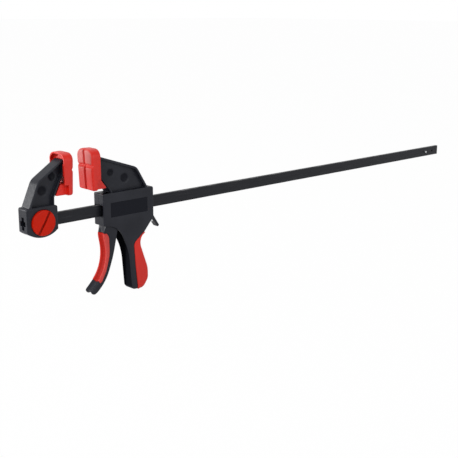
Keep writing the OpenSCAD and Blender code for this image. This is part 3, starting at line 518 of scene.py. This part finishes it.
def softened(node, name, body, material, cell, rounds, swell=0.0):
    """A copy of a rubber solid on a fine even mesh, with every edge worn round."""
    piece = copied(node, name)
    modify(piece, "REMESH", mode="VOXEL", voxel_size=cell, use_smooth_shade=True)
    modify(piece, "SMOOTH", factor=0.5, iterations=rounds)
    if swell:
        modify(piece, "DISPLACE", strength=swell, mid_level=0)
    only(piece)
    bpy.ops.object.shade_smooth()
    return finish_piece(piece, node, body, material)


def kept(node, material):
    """A hidden solid stays as it is and only takes its material."""
    paint(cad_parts[node].data, material)


def look():
    """The scene's colours."""
    return bpy.context.scene.clamp_look


def sizes():
    """The scene's small sizes."""
    return bpy.context.scene.clamp_sizes


def shared(name, make):
    """One material for all the pieces of a finish."""
    return bpy.data.materials.get(name) or make()


def charcoal():
    """The moulded plastic."""
    return shared("charcoal_plastic", lambda: charcoal_plastic(look()))


def soft_red():
    """The rubber of pads and grip cover."""
    return shared("soft_red_rubber", lambda: rubber_finish(look()))


def steel():
    """The steel of pins and plates."""
    return shared("bright_steel", lambda: bright_steel("bright_steel", look().steel, 0.34))


# ---- pieces ----

class MakeBar(bpy.types.Operator):
    """Finishes the bar and the stop pin near its free end"""
    bl_idname = "clamp.bar"
    bl_label = "Bar and stop pin"

    def execute(self, context):
        dressed("bar", "bar_drawn", "fixed_end", bar_finish(look()),
                sizes().bar_edge, rings=3)
        dressed("bar_stop_pin", "stop_pin_turned", "fixed_end", steel(),
                sizes().pin_chamfer, rings=1)
        return {"FINISHED"}


class MakeFixedJaw(bpy.types.Operator):
    """Finishes the fixed jaw's moulding"""
    bl_idname = "clamp.fixed_jaw"
    bl_label = "Fixed jaw"

    def execute(self, context):
        dressed("fixed_jaw", "fixed_jaw_moulding", "fixed_end", charcoal(),
                sizes().plastic_edge)
        return {"FINISHED"}


class MakePads(bpy.types.Operator):
    """Finishes the two rubber pads"""
    bl_idname = "clamp.pads"
    bl_label = "Pads"

    def execute(self, context):
        for node, body in (("fixed_pad", "fixed_end"), ("sliding_pad", "sliding_jaw")):
            softened(node, node + "_rubber", body, soft_red(),
                     sizes().rubber_cell, PAD_ROUNDS)
        return {"FINISHED"}


class MakeLock(bpy.types.Operator):
    """Finishes the lock knob with its pin, clip and washer"""
    bl_idname = "clamp.lock"
    bl_label = "Lock"

    def execute(self, context):
        dressed("lock_knob", "lock_knob_disc", "lock", knob_finish(look()),
                sizes().plastic_edge, smooth=35)
        for node in ("lock_pin", "lock_clip", "knob_washer"):
            dressed(node, node + "_steel", "lock", steel(),
                    sizes().lock_chamfer, rings=1)
        return {"FINISHED"}


class MakeShells(bpy.types.Operator):
    """Finishes the two halves of the sliding jaw's moulding"""
    bl_idname = "clamp.shells"
    bl_label = "Shells"

    def execute(self, context):
        for node in ("near_shell", "far_shell"):
            dressed(node, node + "_moulding", "sliding_jaw", charcoal(),
                    sizes().plastic_edge)
        return {"FINISHED"}


class MakeScrews(bpy.types.Operator):
    """Finishes the screws that join the shells"""
    bl_idname = "clamp.screws"
    bl_label = "Screws"

    def execute(self, context):
        black = bright_steel("screw_oxide", look().screw_black, 0.38)
        dressed("shell_screws", "shell_screws_turned", "sliding_jaw", black,
                sizes().screw_chamfer, rings=1)
        return {"FINISHED"}


class MakeGripCover(bpy.types.Operator):
    """Finishes the rubber cover on the back of the grip"""
    bl_idname = "clamp.grip_cover"
    bl_label = "Grip cover"

    def execute(self, context):
        cover = dressed("grip_cover", "grip_cover_rubber", "sliding_jaw",
                        soft_red(), sizes().plastic_edge)
        skin = self.waist_skin()
        paint(skin.data, soft_red())
        only(cover, skin)
        bpy.ops.object.join()
        return {"FINISHED"}

    def waist_skin(self):
        """Thin rubber where the shells come through the cover, at the waist of the grip."""
        halves = []
        for node in ("near_shell", "far_shell"):
            half = copied(node, "waist_skin")
            pick(half, "FACE", half.data.polygons, lambda face: not self.on_waist(face))
            bpy.ops.mesh.delete(type="FACE")
            leave()
            halves.append(half)
        only(*halves)
        bpy.ops.object.join()
        skin = halves[0]
        weld(skin, SKIN_WELD)
        edit(skin)
        bpy.ops.transform.resize(value=(1, SKIN_SPREAD, 1))
        leave()
        heights = [v.co.z for v in skin.data.vertices]
        for end, (slope, reach) in ((max(heights), SKIN_TOP), (min(heights), SKIN_FOOT)):
            pick(skin, "VERT", skin.data.vertices,
                 lambda vertex: abs(vertex.co.z - end) < SKIN_WELD)
            bpy.ops.transform.translate(value=(slope * reach, 0, reach))
            leave()
        modify(skin, "SOLIDIFY", thickness=sizes().skin_t, offset=1)
        only(skin)
        bpy.ops.object.shade_smooth_by_angle(angle=SKIN_SMOOTH)
        return skin

    def on_waist(self, face):
        """Whether a shell's face lies on the back of the grip's waist."""
        x, y, z = face.center
        return x > WAIST_FRONT and WAIST_LOW < z < WAIST_HIGH and face.normal.x > BACKWARD


class MakeTrigger(bpy.types.Operator):
    """Finishes the trigger and its rubber inlay"""
    bl_idname = "clamp.trigger"
    bl_label = "Trigger"

    def execute(self, context):
        dressed("trigger", "trigger_moulding", "trigger", charcoal(),
                sizes().plastic_edge, flat=0.05)
        pulled = rubber_finish(look(), "inlay_rubber", 0.12)
        softened("trigger_inlay", "trigger_inlay_rubber", "trigger", pulled,
                 sizes().inlay_cell, INLAY_ROUNDS, sizes().inlay_swell)
        return {"FINISHED"}


class MakeInside(bpy.types.Operator):
    """Gives the pieces inside the housing their materials"""
    bl_idname = "clamp.inside"
    bl_label = "Inside pieces"

    def execute(self, context):
        for node in ("trigger_pin", "spring_seat", "drive_plate_front", "drive_plate_rear"):
            kept(node, steel())
        wire = bright_steel("spring_wire", look().steel, 0.26)
        self.spring("drive_spring", "drive_spring_coil", "drive_slide", PLATE_STROKE, wire)
        low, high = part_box("release_spring")
        lever_stroke = ((low.z + high.z) / 2 - LEVER_PIVOT_Z) * math.sin(LEVER_TURN)
        self.spring("release_spring", "release_spring_coil", "release_hinge", lever_stroke, wire)
        return {"FINISHED"}

    def spring(self, node, name, joint, stroke, wire):
        """A coil that rests on the housing."""
        coil = finish_piece(copied(node, name), node, "sliding_jaw", wire)
        only(coil)
        bpy.ops.object.shade_smooth()
        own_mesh(coil)
        return coil


class MakeRelease(bpy.types.Operator):
    """Finishes the release lever and its moulded tab"""
    bl_idname = "clamp.release"
    bl_label = "Release"

    def execute(self, context):
        kept("release_lever", steel())
        dressed("release_tab", "release_tab_moulding", "release", charcoal(), 0)
        return {"FINISHED"}


class MakeStage(bpy.types.Operator):
    """Sets up the floor, the light and the camera"""
    bl_idname = "clamp.stage"
    bl_label = "Stage"

    def execute(self, context):
        scene = context.scene
        self.floor()
        self.room(scene)
        for name, place, aim, size, watts in LAMPS:
            lamp = bpy.data.lights.new(name, "AREA")
            lamp.shape, lamp.size, lamp.energy = "DISK", size, watts
            holder = bpy.data.objects.new(name, lamp)
            scene.collection.objects.link(holder)
            holder.location = place
            ray = Vector(aim) - Vector(place)
            holder.rotation_euler = ray.to_track_quat("-Z", "Y").to_euler()
        scene.view_settings.view_transform = "Standard"
        self.camera(scene)
        return {"FINISHED"}

    def floor(self):
        """A plain pale floor just under the object."""
        bpy.ops.object.select_all(action="DESELECT")
        bpy.ops.mesh.primitive_plane_add(
            size=FLOOR_SIZE, location=(*FLOOR_MIDDLE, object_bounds()[0].z - FLOOR_GAP))
        floor = bpy.context.active_object
        floor.name = "floor"
        material = bpy.data.materials.new("pale_floor")
        material.use_nodes = True
        paint(floor.data, material)
        plain = material.node_tree.nodes["Principled BSDF"]
        plain.inputs["Base Color"].default_value = FLOOR_GREY
        plain.inputs["Roughness"].default_value = FLOOR_ROUGHNESS
        plain.inputs["Specular IOR Level"].default_value = FLOOR_GLOSS
        white_rays(material.node_tree, plain, "Material Output", "ShaderNodeEmission",
                   FLOOR_WHITE)
        floor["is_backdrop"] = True

    def room(self, scene):
        """Soft light from all sides."""
        world = bpy.data.worlds.new("soft_room")
        scene.world = world
        world.use_nodes = True
        plain = world.node_tree.nodes["Background"]
        plain.inputs[0].default_value = ROOM_TINT
        plain.inputs[1].default_value = ROOM_LIGHT
        white_rays(world.node_tree, plain, "World Output", "ShaderNodeBackground", 1.0)

    def camera(self, scene):
        """Places the camera by its yaw, pitch and roll."""
        yaw, pitch, roll = (math.radians(angle) for angle in CAMERA_TURN)
        ahead = Vector((math.cos(yaw) * math.cos(pitch), math.sin(yaw) * math.cos(pitch),
                        -math.sin(pitch)))
        right = ahead.cross(Vector((0, 0, 1))).normalized()
        turn = Matrix((right, right.cross(ahead), -ahead)).transposed().to_4x4()
        data = bpy.data.cameras.new("camera")
        data.sensor_width, data.lens = CAMERA_SENSOR, CAMERA_LENS
        holder = bpy.data.objects.new("camera", data)
        scene.collection.objects.link(holder)
        holder.matrix_world = (Matrix.Translation(CAMERA_PLACE) @ turn
                               @ Matrix.Rotation(roll, 4, "Z"))
        scene.camera = holder


class ClampPanel(bpy.types.Panel):
    """Settings and operators of the clamp"""
    bl_label = "Bar Clamp"
    bl_idname = "VIEW3D_PT_bar_clamp"
    bl_space_type = "VIEW_3D"
    bl_region_type = "UI"
    bl_category = "Bar Clamp"

    def draw(self, context):
        layout = self.layout
        for group in (context.scene.clamp_look, context.scene.clamp_sizes):
            box = layout.box()
            for key in group.__annotations__:
                box.prop(group, key)
        for operator in MAKERS:
            layout.operator(operator.bl_idname)


MAKERS = (MakeBar, MakeFixedJaw, MakePads, MakeLock, MakeShells, MakeScrews, MakeGripCover,
          MakeTrigger, MakeInside, MakeRelease, MakeStage)
CLASSES = (ClampLook, ClampSizes, *MAKERS, ClampPanel)


def register():
    for cls in CLASSES:
        bpy.utils.register_class(cls)
    bpy.types.Scene.clamp_look = bpy.props.PointerProperty(type=ClampLook)
    bpy.types.Scene.clamp_sizes = bpy.props.PointerProperty(type=ClampSizes)


def unregister():
    del bpy.types.Scene.clamp_sizes
    del bpy.types.Scene.clamp_look
    for cls in reversed(CLASSES):
        bpy.utils.unregister_class(cls)


def main():
    register()
    bpy.ops.clamp.bar()
    bpy.ops.clamp.fixed_jaw()
    bpy.ops.clamp.pads()
    bpy.ops.clamp.lock()
    bpy.ops.clamp.shells()
    bpy.ops.clamp.screws()
    bpy.ops.clamp.grip_cover()
    bpy.ops.clamp.trigger()
    bpy.ops.clamp.inside()
    bpy.ops.clamp.release()
    bpy.ops.clamp.stage()


if __name__ == "__main__":
    main()
